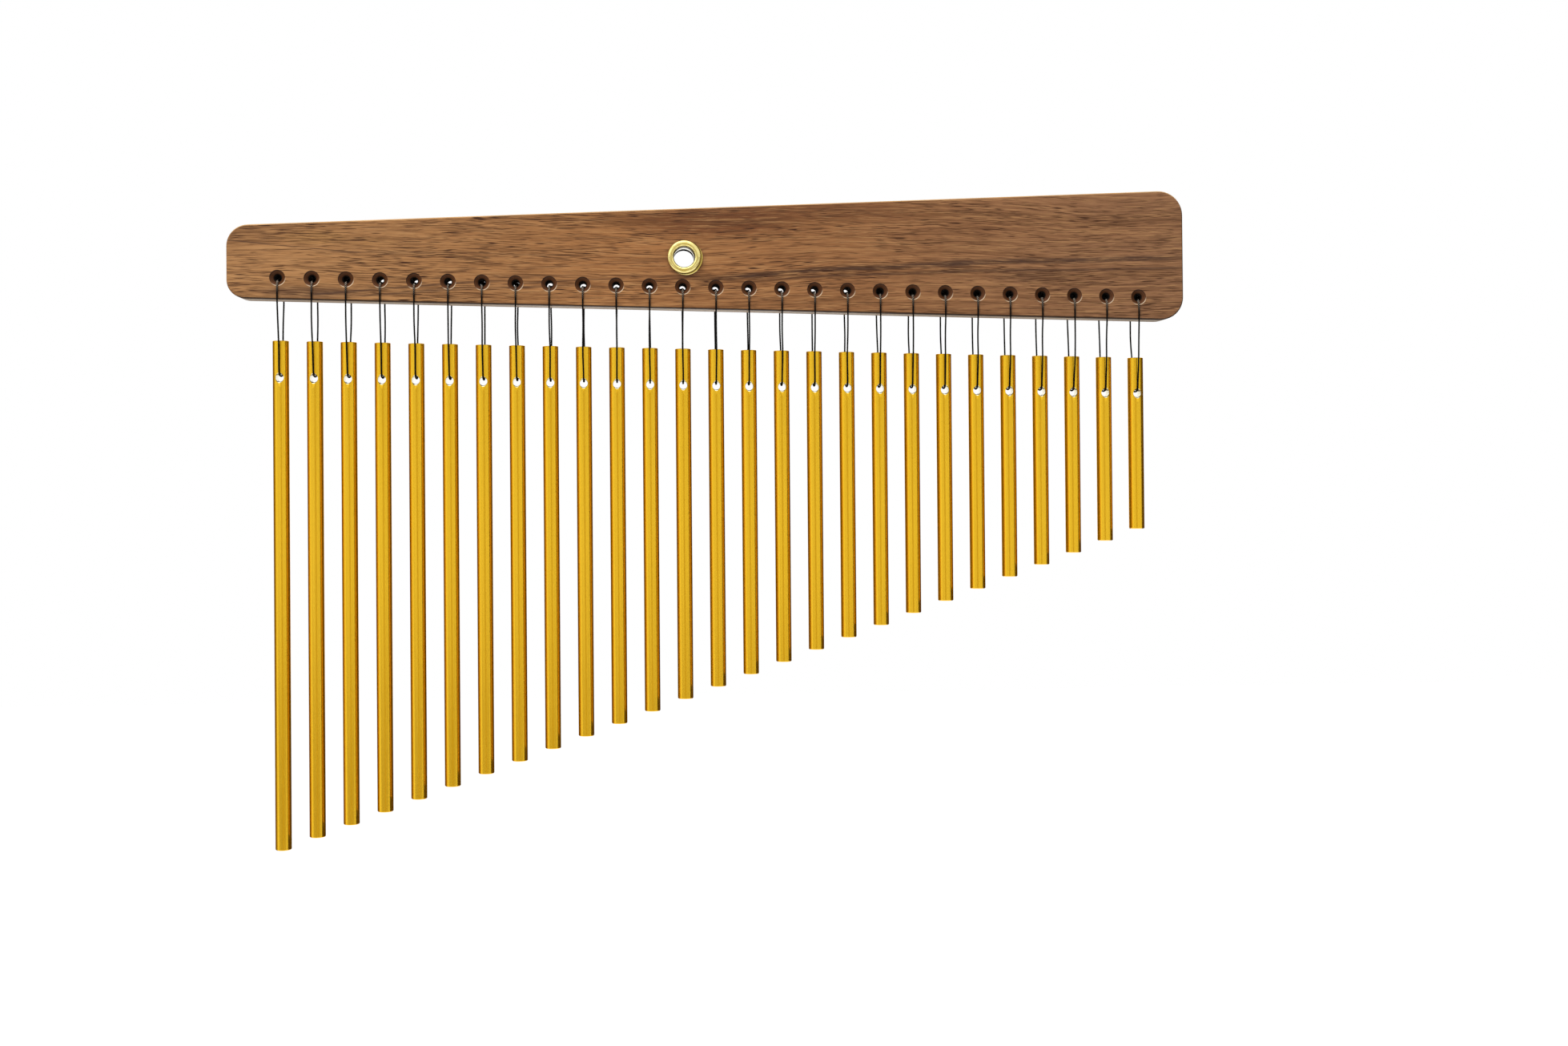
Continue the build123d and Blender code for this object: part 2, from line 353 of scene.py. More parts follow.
# the next four: painted shade on the lower and wide-end edges and at the underside's front, a painted
# reflection on the underside, fainter behind, and a painted highlight on the top edges
EDGE_SHADE_COLOUR = srgb(52, 36, 24)
UNDERSIDE_REFLECTION_COLOUR = srgb(244, 232, 218)
UNDERSIDE_REFLECTION_FADED = srgb(206, 188, 172)
TOP_EDGE_HIGHLIGHT = srgb(216, 172, 112)


def streak_mask(paint, streak, x, z):
    share = paint.math("DIVIDE", paint.math("SUBTRACT", x, streak.start), streak.end - streak.start)
    rest = paint.math("SUBTRACT", 1.0, share)
    arch = paint.math("MULTIPLY", paint.math("MULTIPLY", share, rest), 4 * streak.bow)
    line = paint.math("MULTIPLY_ADD", share, streak.end_height - streak.start_height, streak.start_height)
    away = paint.math("ABSOLUTE", paint.math("SUBTRACT", z, paint.math("ADD", line, arch)))
    across = paint.fade(away, streak.width * STREAK_CORE, streak.width, streak.strength, 0.0)
    enter = paint.fade(share, 0.0, STREAK_TAPER)
    leave = paint.fade(share, 1.0 - STREAK_TAPER, 1.0, 1.0, 0.0)
    return paint.math("MULTIPLY", across, paint.math("MULTIPLY", enter, leave))


def patch_mask(paint, patch, x, z):
    along = paint.math("DIVIDE", paint.math("SUBTRACT", x, patch.x), patch.half_length)
    up = paint.math("DIVIDE", paint.math("SUBTRACT", z, patch.z), patch.half_height)
    squares = paint.math("MULTIPLY_ADD", along, along, paint.math("MULTIPLY", up, up))
    return paint.fade(squares, 0.0, 1.0, patch.strength, 0.0)


def hole_place(paint, x, z):
    """Where a point lies across and up from the axis of the nearest cord hole, and how far away."""
    first = mantle_hole(NUMBERS[0])
    last = mantle_hole(NUMBERS[-1])
    steps = len(NUMBERS) - 1
    pitch = (last.x - first.x) / steps
    drop = (last.z - first.z) / steps
    count = paint.math("ROUND", paint.math("DIVIDE", paint.math("SUBTRACT", x, first.x), pitch))
    count = paint.math("MINIMUM", paint.math("MAXIMUM", count, 0.0), float(steps))
    across = paint.math("SUBTRACT", x, paint.math("MULTIPLY_ADD", count, pitch, first.x))
    up = paint.math("SUBTRACT", z, paint.math("MULTIPLY_ADD", count, drop, first.z))
    away = paint.math("SQRT", paint.math("MULTIPLY_ADD", across, across, paint.math("MULTIPLY", up, up)))
    return across, up, away


def ring(paint, away, radius, span, start=0.0, end=1.0):
    """Fades over a ring that starts and ends at these distances from a radius."""
    return paint.fade(away, radius + span[0], radius + span[1], start, end)


def paint_holes(paint, colour, x, z):
    """Dark countersinks with the drill's rings and painted shade on their upper side, a painted highlight
    on the lower lip, and near-black painted shade in the bores.
    """
    across, up, away = hole_place(paint, x, z)
    mouth = MANTLE_HOLE_MOUTH
    towards = paint.math("MULTIPLY_ADD", across, LIT_SIDE[0], paint.math("MULTIPLY", up, LIT_SIDE[1]))
    side = paint.math("DIVIDE", towards, away)
    rings = paint.noise(paint.join(paint.math("MULTIPLY", away, DRILL_RINGS), 0.0, 0.0), detail=1)
    cone = paint.mix(paint.fade(rings, *RING_SHADE), CONE_COLOUR, CONE_RINGS_AND_SHADE)
    shade = paint.math("MULTIPLY", ring(paint, away, mouth, CONE_SHADE), paint.fade(side, *SHADED_CONE))
    cone = paint.mix(shade, cone, CONE_RINGS_AND_SHADE)
    colour = paint.mix(ring(paint, away, mouth, CONE_EDGE, 1.0, 0.0), colour, cone)
    rise = ring(paint, away, mouth, LIP_RISE)
    lip = paint.math("MULTIPLY", rise, ring(paint, away, mouth, LIP_FALL, 1.0, 0.0))
    highlight = paint.math("MULTIPLY", paint.fade(side, *LIP_HIGHLIGHT), lip)
    colour = paint.mix(highlight, colour, LIP_HIGHLIGHT_COLOUR)
    bore = ring(paint, away, MANTLE_HOLE_BORE, BORE_SHADE, 1.0, 0.0)
    return paint.mix(bore, colour, BORE_SHADE_COLOUR), bore


def paint_edges(paint, colour, y):
    """The underside, with painted shade at its front and a painted reflection behind it, and the rounded
    edges: painted shade below and at the wide end, a painted highlight on top.
    """
    nx, ny, nz = paint.split(paint.facing)
    flat = paint.math("ABSOLUTE", ny)
    rounded = paint.math("MULTIPLY", paint.fade(flat, *ROUND_STARTS), paint.fade(flat, *ROUND_ENDS))
    turned_away = paint.math("MULTIPLY_ADD", nx, SHADED_SIDE[0], paint.math("MULTIPLY", nz, SHADED_SIDE[1]))
    dark = paint.math("MULTIPLY", rounded, paint.fade(turned_away, *SHADED_EDGE))
    pale = paint.math("MULTIPLY", rounded, paint.fade(nz, *HIGHLIT_EDGE))
    reflection = paint.mix(paint.fade(y, *REFLECTION_FADES), UNDERSIDE_REFLECTION_COLOUR, UNDERSIDE_REFLECTION_FADED)
    underside = paint.mix(paint.fade(y, *REFLECTION_STARTS), EDGE_SHADE_COLOUR, reflection)
    colour = paint.mix(pale, colour, TOP_EDGE_HIGHLIGHT)
    colour = paint.mix(paint.fade(nz, *UNDERSIDE), colour, underside)
    return paint.mix(dark, colour, EDGE_SHADE_COLOUR)


def wood_pores(paint, grain):
    """1 in a pore: short ones, crowded in places, and long ones."""
    limit = paint.fade(paint.grain(grain, PORE_CROWDS), *PORE_LIMIT)
    over_limit = paint.math("SUBTRACT", paint.grain(grain, SHORT_PORES), limit)
    short_pore = paint.fade(over_limit, *SHORT_PORE)
    long_pore = paint.fade(paint.grain(grain, LONG_PORES), *LONG_PORE)
    return paint.math("MAXIMUM", short_pore, long_pore)


def wood_material():
    """Oiled wood: its tones, patches and a painted shadow of the grommet, grain, streaks and pores, then
    its edges and cord holes with their painted shade and highlights.
    """
    paint = Paint("oiled_wood")
    x, y, z = paint.split(paint.place)
    wander = paint.grain(paint.place, WANDER)
    sweep = paint.grain(paint.place, SWEEP)
    bent_z = paint.math("ADD", z, paint.math("MULTIPLY_ADD", wander, GRAIN_WANDER, -GRAIN_WANDER / 2))
    grain = paint.join(x, y, paint.math("MULTIPLY_ADD", sweep, GRAIN_SWEEP, bent_z))
    bands = paint.grain(grain, BANDS)
    lines = paint.grain(grain, LINES)
    fibre = paint.grain(grain, FIBRES)
    pore = wood_pores(paint, grain)

    box_low, box_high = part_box("mantle")
    colour = paint.ramp(paint.fade(x, box_low.x, box_high.x), WOOD_TONES)
    for patch in PATCHES_AND_SHADOW:
        colour = paint.mix(patch_mask(paint, patch, x, bent_z), colour, patch.colour)
    colour = paint.mix(paint.fade(bands, *BAND_SHADE), colour, FIBRE_COLOUR)
    colour = paint.mix(paint.fade(lines, *LINE_SHADE), colour, FIBRE_COLOUR)
    colour = paint.mix(paint.fade(lines, *LINE_GLINT), colour, GLINT_COLOUR)
    ragged = paint.fade(fibre, *STREAK_RAGGED)
    for streak in STREAKS:
        mask = paint.math("MULTIPLY", streak_mask(paint, streak, x, bent_z), ragged)
        colour = paint.mix(mask, colour, STREAK_COLOUR)
    colour = paint.mix(paint.fade(fibre, *FIBRE_GLINT), colour, GLINT_COLOUR)
    colour = paint.mix(paint.fade(fibre, *FIBRE_SHADE), colour, FIBRE_COLOUR)
    colour = paint.mix(pore, colour, PORE_COLOUR)
    colour = paint_edges(paint, colour, y)
    colour, bore = paint_holes(paint, colour, x, z)

    height = paint.math("SUBTRACT", paint.math("MULTIPLY", fibre, FIBRE_HEIGHT), pore)
    roughness = paint.math("MULTIPLY_ADD", fibre, FIBRE_ROUGHNESS, WOOD_ROUGHNESS)
    roughness = paint.math("MULTIPLY_ADD", pore, PORE_ROUGHNESS, roughness)
    return paint.finish(
        base_color=colour,
        roughness=paint.math("MULTIPLY_ADD", bore, BORE_ROUGHNESS, roughness, clamp=True),
        specular_ior_level=WOOD_GLOSS,
        normal=paint.bump(height, *WOOD_BUMP),
    )


GOLD = srgb(250, 201, 51)
GOLD_DEEP = srgb(244, 193, 44)
GOLD_EDGE = srgb(255, 205, 120)
BARE_METAL = srgb(252, 248, 226)
BARE_METAL_DULL = srgb(246, 236, 190)
BRASS = srgb(242, 226, 152)
BRASS_DULL = srgb(224, 202, 120)
# the next two: painted shade behind the barrel's front lip and a painted reflection in its middle
BARREL_SHADE = srgb(140, 124, 54)
BARREL_REFLECTION = srgb(255, 252, 236)
# painted shade in the seam around the flange
SEAM_SHADE = srgb(46, 34, 14)
# painted shade at the barrel's rear end
REAR_SHADE_COLOUR = srgb(14, 12, 9)
# painted shade in the grooves between the cord's plies
CORD_GROOVE_SHADE = srgb(2, 2, 2)
CORD_CROWN = srgb(22, 20, 19)
# painted highlight on the ply crowns where a loop bends over the lip
CORD_LIP_HIGHLIGHT = srgb(186, 170, 152)
# paler patches in the painted shade at the barrel's rear end
REAR_SHADE_PALER = srgb(60, 50, 28)

DRAWN_LINES = Grain(2200, 2200, 9, 3, 0.6)
GOLD_CLOUD = Grain(160, 160, 40, 3)
DRILL_MARKS = Grain(900, 5200, 900, 2)
BRASS_CLOUD = Grain(420, 420, 420, 4)
BRASS_HAIR = Grain(900, 4000, 4000, 2)
BARREL_CLOUD = Grain(500, 500, 500, 3)
REAR_SHADE_CLOUD = Grain(700, 700, 700, 4)
CORD_FUZZ = Grain(9000, 9000, 3500, 3)
BAR_SPREAD = 7.0                    # metres of noise between the bars, so that no two look alike

# Fades, as for the wood, and bumps of a strength and a depth
GOLD_TONES = (0.25, 0.75)
GOLD_ROUGHNESS = 0.21
DRAWN_ROUGHNESS = 0.06              # what the drawn lines and the cloud add to it
CLOUD_ROUGHNESS = 0.05
GOLD_BUMP = (0.03, 0.00002)
BARE_TONES = (0.35, 0.65)
BARE_ROUGHNESS = (0.30, 0.70, 0.10, 0.22)
BARE_BUMP = (0.05, 0.00002)
BRASS_TONES = (0.40, 0.75)
BRASS_ROUGHNESS = (0.30, 0.80, 0.16, 0.32)
BRASS_BUMP = (0.05, 0.00004)
SEAM_STARTS = (-0.0001, 0.0)        # where the painted shade in the seam starts and ends from the flange's edge
SEAM_ENDS = (0.0002, 0.0007)
SEAM_STRENGTH = 0.85
BARREL_RAGGED = 0.0012              # how far the end of the painted shade strays
BARREL_REFLECTION_SPAN = (-0.0008, 0.0012)   # where the painted reflection starts from that end
BARREL_ROUGHNESS = 0.40             # of the part in painted shade
BARREL_POLISH = -0.22               # what the part with the painted reflection adds to it
BARREL_BUMP = (0.05, 0.00005)
REAR_SHADE_TONES = (0.55, 0.80, 0.0, 0.5)
REAR_SHADE_ROUGHNESS = (0.30, 0.70, 0.95, 0.75)
REAR_SHADE_GLOSS = 0.02
REAR_SHADE_BUMP = (0.3, 0.0001)
LIP_HIGHLIGHT_CROWN = (0.45, 0.95)
CORD_ROUGHNESS = 0.50
FUZZ_ROUGHNESS = 0.25
CORD_GLOSS = 0.06
CORD_BUMP = (0.3, 0.00006)


def gold_material():
    """Satin anodised metal with fine lines drawn along the bar."""
    paint = Paint("gold_anodised")
    own = paint.math("MULTIPLY", paint.add("ShaderNodeObjectInfo").outputs["Random"], BAR_SPREAD)
    x, y, z = paint.split(paint.place)
    place = paint.join(x, paint.math("ADD", y, own), z)
    drawn = paint.grain(place, DRAWN_LINES)
    cloud = paint.grain(place, GOLD_CLOUD)
    roughness = paint.math("MULTIPLY_ADD", drawn, DRAWN_ROUGHNESS, GOLD_ROUGHNESS)
    return paint.finish(
        base_color=paint.mix(paint.fade(drawn, *GOLD_TONES), GOLD, GOLD_DEEP),
        metallic=1.0,
        specular_tint=GOLD_EDGE,
        roughness=paint.math("MULTIPLY_ADD", cloud, CLOUD_ROUGHNESS, roughness),
        normal=paint.bump(drawn, *GOLD_BUMP),
    )


def bare_metal_material():
    """Metal that the drill left bright, with its fine turning marks."""
    paint = Paint("drilled_metal")
    marks = paint.grain(paint.place, DRILL_MARKS)
    return paint.finish(
        base_color=paint.mix(paint.fade(marks, *BARE_TONES), BARE_METAL, BARE_METAL_DULL),
        metallic=1.0,
        roughness=paint.fade(marks, *BARE_ROUGHNESS),
        normal=paint.bump(marks, *BARE_BUMP),
    )


def brass_material():
    """Polished brass with faint wear, hairline scratches and painted shade in the seam around the flange.
    """
    paint = Paint("grommet_brass_polished")
    cloud = paint.grain(paint.place, BRASS_CLOUD)
    hair = paint.grain(paint.place, BRASS_HAIR)
    x, y, z = paint.split(paint.place)
    away = paint.math("SQRT", paint.math("MULTIPLY_ADD", x, x, paint.math("MULTIPLY", z, z)))
    edge = BORE_RADIUS + LIP_RADIUS + FRONT_FLANGE_WIDTH
    seam_start = ring(paint, away, edge, SEAM_STARTS)
    seam = paint.math("MULTIPLY", seam_start, ring(paint, away, edge, SEAM_ENDS, SEAM_STRENGTH, 0.0))
    colour = paint.mix(paint.fade(cloud, *BRASS_TONES), BRASS, BRASS_DULL)
    return paint.finish(
        base_color=paint.mix(seam, colour, SEAM_SHADE),
        metallic=1.0,
        roughness=paint.fade(cloud, *BRASS_ROUGHNESS),
        normal=paint.bump(hair, *BRASS_BUMP),
    )


def barrel_material():
    """The barrel's inside: painted shade behind the front lip and a painted reflection in the middle."""
    paint = Paint("barrel_brass")
    x, y, z = paint.split(paint.place)
    cloud = paint.grain(paint.place, BARREL_CLOUD)
    edge = paint.math("MULTIPLY_ADD", cloud, BARREL_RAGGED, y)
    bright = ring(paint, edge, SHADE_END, BARREL_REFLECTION_SPAN)
    return paint.finish(
        base_color=paint.mix(bright, BARREL_SHADE, BARREL_REFLECTION),
        metallic=1.0,
        roughness=paint.math("MULTIPLY_ADD", bright, BARREL_POLISH, BARREL_ROUGHNESS),
        normal=paint.bump(cloud, *BARREL_BUMP),
    )


def rear_shade_material():
    """Painted shade: the dull black inside of the barrel's rear end."""
    paint = Paint("barrel_tarnish")
    cloud = paint.grain(paint.place, REAR_SHADE_CLOUD)
    return paint.finish(
        base_color=paint.mix(paint.fade(cloud, *REAR_SHADE_TONES), REAR_SHADE_COLOUR, REAR_SHADE_PALER),
        roughness=paint.fade(cloud, *REAR_SHADE_ROUGHNESS),
        specular_ior_level=REAR_SHADE_GLOSS,
        normal=paint.bump(cloud, *REAR_SHADE_BUMP),
    )


def cord_material():
    """Black waxed cord, with painted shade in the grooves between its plies and a painted highlight on the
    plies where they bend over the mantle's lip.
    """
    paint = Paint("cord_black_twisted")
    crown = paint.add("ShaderNodeAttribute", attribute_name="crown").outputs["Fac"]
    chafed = paint.add("ShaderNodeAttribute", attribute_name="chafed").outputs["Fac"]
    fuzz = paint.grain(paint.place, CORD_FUZZ)
    colour = paint.mix(paint.math("MULTIPLY", crown, fuzz), CORD_GROOVE_SHADE, CORD_CROWN)
    pale = paint.math("MULTIPLY", paint.fade(crown, *LIP_HIGHLIGHT_CROWN), chafed)
    return paint.finish(
        base_color=paint.mix(pale, colour, CORD_LIP_HIGHLIGHT),
        roughness=paint.math("MULTIPLY_ADD", fuzz, FUZZ_ROUGHNESS, CORD_ROUGHNESS),
        specular_ior_level=CORD_GLOSS,
        normal=paint.bump(fuzz, *CORD_BUMP),
    )


def turned(outline, sides):
    """A shape turned about Z from points of radius and height, closed on itself or on the axis."""
    shape = bmesh.new()
    rings = []
    for radius, height in outline:
        count = sides if radius else 1
        angles = [2 * math.pi * step / sides for step in range(count)]
        points = [(radius * math.cos(angle), radius * math.sin(angle), height) for angle in angles]
        rings.append([shape.verts.new(point) for point in points])
    pairs = list(zip(rings, rings[1:]))
    if outline[0][0]:
        pairs.append((rings[-1], rings[0]))
    for lower, upper in pairs:
        for step in range(sides):
            after = step + 1
            corners = [
                lower[step % len(lower)],
                lower[after % len(lower)],
                upper[after % len(upper)],
                upper[step % len(upper)],
            ]
            shape.faces.new(dict.fromkeys(corners))
    bmesh.ops.recalc_face_normals(shape, faces=shape.faces)
    return shape


def finished_mesh(name, shape, material, sharp_deg=SHARP_DEG):
    """A named mesh of a shape, smooth apart from its sharp edges."""
    mesh = bpy.data.meshes.new(name)
    shape.to_mesh(mesh)
    shape.free()
    mesh.materials.append(material)
    mesh.shade_smooth()
    mesh.set_sharp_from_angle(angle=math.radians(sharp_deg))
    return mesh


def add_piece(name, mesh, body, node=None, place=(0, 0, 0)):
    """Puts a mesh into the scene as a piece that rides on a body and may stand for a node."""
    piece = bpy.data.objects.new(name, mesh)
    piece.location = place
    bpy.context.scene.collection.objects.link(piece)
    if node:
        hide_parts(node)
    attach(piece, body)
    return piece


TO_FRONT = Matrix.Rotation(math.radians(90), 4, "X")


def quarter(centre, wide, high, start_deg):
    """A quarter of an ellipse, as points of radius and height, turning clockwise from its start."""
    points = []
    for step in range(ARC_STEPS + 1):
        angle = math.radians(start_deg - 90 * step / ARC_STEPS)
        points.append((centre[0] + wide * math.cos(angle), centre[1] + high * math.sin(angle)))
    return points


def bar_radius(number):
    low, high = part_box(f"chime_{number}")
    return (high.x - low.x) / 2


def bar_length(number):
    low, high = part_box(f"chime_{number}")
    return high.z - low.z


def drill_outline():
    """The cross hole's space about its axis, with a rounded edge where it breaks through a bar's wall."""
    radius = bar_radius(NUMBERS[0])
    neck = radius + RIM_PROUD - CROSS_HOLE_RIM
    mouth = CROSS_HOLE_RADIUS + CROSS_HOLE_RIM
    reach = radius + CROSS_HOLE_RIM
    edge = quarter((mouth, neck), CROSS_HOLE_RIM, CROSS_HOLE_RIM, 180)
    half = edge + [(mouth, reach), (0, reach)]
    return [(across, -depth) for across, depth in reversed(half)] + half


def longest_bar(gold, bare_metal):
    """The longest bar's mesh, with its top at the origin and its cross hole drilled."""
    radius = bar_radius(NUMBERS[0])
    foot = -bar_length(NUMBERS[0])
    outline = [
        (0, foot),
        (radius - FOOT_CHAMFER, foot),
        (radius, foot + FOOT_CHAMFER),
        (radius, -CROSS_HOLE_DEPTH - HOLE_CLEAR),
        (radius, -CROSS_HOLE_DEPTH + HOLE_CLEAR),
        (radius, -TOP_CHAMFER),
        (radius - TOP_CHAMFER, 0),
        (0, 0),
    ]
    rod = bpy.data.objects.new("rod", finished_mesh("rod", turned(outline, BAR_SIDES), gold))
    cutter_shape = turned(drill_outline(), DRILL_SIDES)
    cutter_shape.transform(Matrix.Translation((0, 0, -CROSS_HOLE_DEPTH)) @ TO_FRONT)
    cutter = bpy.data.objects.new("drill", finished_mesh("drill", cutter_shape, bare_metal))
    for each in (rod, cutter):
        bpy.context.scene.collection.objects.link(each)
    cut = rod.modifiers.new("cross_hole", "BOOLEAN")
    cut.object = cutter
    cut.operation = "DIFFERENCE"
    cut.solver = "EXACT"
    cut.material_mode = "TRANSFER"
    mesh = bpy.data.meshes.new_from_object(rod.evaluated_get(bpy.context.evaluated_depsgraph_get()))
    bpy.data.objects.remove(rod)
    bpy.data.objects.remove(cutter)
    mesh.shade_smooth()
    mesh.set_sharp_from_angle(angle=math.radians(SHARP_DEG))
    return mesh


def add_bars(gold, bare_metal):
    pattern = longest_bar(gold, bare_metal)
    whole = bar_length(NUMBERS[0])
    for number in NUMBERS:
        low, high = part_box(f"chime_{number}")
        mesh = pattern.copy()
        mesh.name = f"bar_{number}"
        shorter = whole - bar_length(number)
        for vertex in mesh.vertices:
            if vertex.co.z < -whole / 2:
                vertex.co.z += shorter
        top = ((low.x + high.x) / 2, (low.y + high.y) / 2, high.z)
        add_piece(f"bar_{number}", mesh, f"chime_{number}", f"chime_{number}", top)
    bpy.data.meshes.remove(pattern)


def flange(seat, width):
    """Section of a rolled flange from the bore out to its edge and back to the barrel."""
    spring = seat + FLANGE_EDGE
    crest = BORE_RADIUS + LIP_RADIUS
    roll = quarter((crest, spring), LIP_RADIUS, LIP_RADIUS, 180)
    dome = quarter((crest, spring), width, LIP_RADIUS, 90)
    return roll + dome[1:] + [(crest + width, seat), (BARREL_RADIUS, seat)]


def eyelet_outline():
    low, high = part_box("mantle")
    seat = high.y + WASHER_THICKNESS
    front = flange(seat, FRONT_FLANGE_WIDTH)
    rear = [(radius, -height) for radius, height in flange(seat, REAR_FLANGE_WIDTH)]
    return front + rear[::-1] + [(BORE_RADIUS, -REAR_SHADE_START)]


def washer_outline(hole_radius):
    low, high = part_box("mantle")
    seat = high.y + WASHER_THICKNESS
    return [
        (hole_radius, high.y),
        (WASHER_RADIUS, high.y),
        (WASHER_RADIUS, seat - WASHER_CHAMFER),
        (WASHER_RADIUS - WASHER_CHAMFER, seat),
        (hole_radius, seat),
    ]


def paint_barrel(mesh, barrel, rear_shade):
    """Gives the barrel's inside its own material, of painted shade and a painted reflection, and another
    one of painted shade to its rear end.
    """
    mesh.materials.append(barrel)
    mesh.materials.append(rear_shade)
    for face in mesh.polygons:
        if math.hypot(face.center.x, face.center.z) < BORE_RADIUS:
            face.material_index = 2 if face.center.y > REAR_SHADE_START else 1


def add_grommet(brass, barrel, rear_shade):
    shift_x, shift_z = FRONT_WASHER_SHIFT
    loose_hole = BARREL_RADIUS + math.hypot(shift_x, shift_z) + WASHER_PLAY
    front_place = Matrix.Translation((shift_x, 0, shift_z)) @ TO_FRONT
    rear_place = Matrix.Rotation(math.pi, 4, "Z") @ TO_FRONT
    parts = [
        ("eyelet", eyelet_outline(), TO_FRONT, "grommet_eyelet"),
        ("front_washer", washer_outline(loose_hole), front_place, "grommet_front_washer"),
        ("rear_washer", washer_outline(BARREL_RADIUS + WASHER_PLAY), rear_place, "grommet_rear_washer"),
    ]
    for name, outline, place, node in parts:
        shape = turned(outline, GROMMET_SIDES)
        shape.transform(place)
        mesh = finished_mesh(name, shape, brass)
        if name == "eyelet":
            paint_barrel(mesh, barrel, rear_shade)
        add_piece(name, mesh, "mantle", node)


def spline_points(points):
    """Points along the smooth line that has these as its control points."""
    curve = bpy.data.curves.new("route", "CURVE")
    curve.dimensions = "3D"
    spline = curve.splines.new("NURBS")
    spline.points.add(len(points) - 1)
    for control, point in zip(spline.points, points):
        control.co = (*point, 1)
    spline.order_u = 3
    spline.use_endpoint_u = True
    spline.resolution_u = SPLINE_STEPS
    holder = bpy.data.objects.new("route", curve)
    mesh = bpy.data.meshes.new_from_object(holder)
    line = [vertex.co.copy() for vertex in mesh.vertices]
    bpy.data.objects.remove(holder)
    bpy.data.curves.remove(curve)
    bpy.data.meshes.remove(mesh)
    return line


def evenly(line, step):
    """The same line, with its points a step apart."""
    spaced = [line[0]]
    left = step
    for start, end in zip(line, line[1:]):
        run = (end - start).length
        while run > left:
            start = start.lerp(end, left / run)
            spaced.append(start)
            run -= left
            left = step
        left -= run
    return spaced


def add_tube(shape, line, radius, bending=None):
    """Adds a closed tube along a line, with the plies winding round it, swollen where it bends over the
    lip.
    """
    layers = shape.verts.layers.float
    crown_layer = layers.get("crown") or layers.new("crown")
    lip_bend_layer = layers.get("chafed") or layers.new("chafed")
    rings = []
    tangent = (line[1] - line[0]).normalized()
    side = tangent.orthogonal().normalized()
    travelled = 0.0
    for index, point in enumerate(line):
        before = line[max(index - 1, 0)]
        after = line[min(index + 1, len(line) - 1)]
        travelled += (point - before).length
        ahead = (after - before).normalized()
        side = (tangent.rotation_difference(ahead) @ side).normalized()
        tangent = ahead
        across = tangent.cross(side)
        wind = 2 * math.pi * travelled / LAY_LENGTH
        chafed = bending[index] if bending else 0.0
        section = []
        for step in range(CORD_SIDES):
            angle = 2 * math.pi * step / CORD_SIDES
            crown = 0.5 + 0.5 * math.cos(PLIES * (angle - wind))
            reach = radius * (1 + LIP_BEND_SWELL * chafed) * (1 - PLY_DEPTH * (1 - crown))
            vertex = shape.verts.new(point + reach * (math.cos(angle) * side + math.sin(angle) * across))
            vertex[crown_layer] = crown
            vertex[lip_bend_layer] = chafed
            section.append(vertex)
        rings.append(section)
    for lower, upper in zip(rings, rings[1:]):
        for step in range(CORD_SIDES):
            after = (step + 1) % CORD_SIDES
            shape.faces.new((lower[step], lower[after], upper[after], upper[step]))
    shape.faces.new(rings[0][::-1])
    shape.faces.new(rings[-1])


def knot_place(number):
    """Where a loop's knot sits behind the middle of its mantle hole."""
    depth, height = KNOT_PLACE
    if number in FILLED_HOLES:
        return Vector((KNOT_LEAN * mantle_hole(number).x, depth, height + KNOT_RISE))
    return Vector((0, depth, height))


def loop_route(number, chance):
    """One loop's control points from its mantle hole's axis, each strand wandering a little."""
    def swayed(points, side):
        moved = []
        for depth, height in points:
            sway_x = chance.uniform(-STRAND_SWAY, STRAND_SWAY)
            sway_y = chance.uniform(-STRAND_SWAY, STRAND_SWAY)
            moved.append(Vector((sway_x, side * depth + sway_y, height)))
        return moved

    def set_points(points, side):
        return [Vector((0, side * depth, height)) for depth, height in points]

    front = set_points(STRAND_TOP, -1) + swayed(STRAND_MIDDLE, -1) + set_points(STRAND_FOOT, -1)
    rear = set_points(STRAND_TOP, 1) + swayed(STRAND_MIDDLE, 1) + set_points(STRAND_FOOT, 1)
    knot = [knot_place(number)]
    return knot + set_points(LOOP_TOP, 1) + front + set_points([LOOP_FOOT], 1) + rear[::-1][:-1] + knot


def lip_bend_share(line, hole):
    """How much each point of a loop bends over the lip, for its swelling and painted highlight: most at
    the front lip, and less further down.
    """
    amounts = []
    for point in line:
        below = hole.z - point.z
        fresh = (below - LIP_BEND_LENGTH * LIP_BEND_FULLY) / LIP_BEND_LENGTH
        amounts.append(min(max(1 - fresh, 0), 1) if point.y < -LIP_BEND_DEPTH else 0.0)
    return amounts


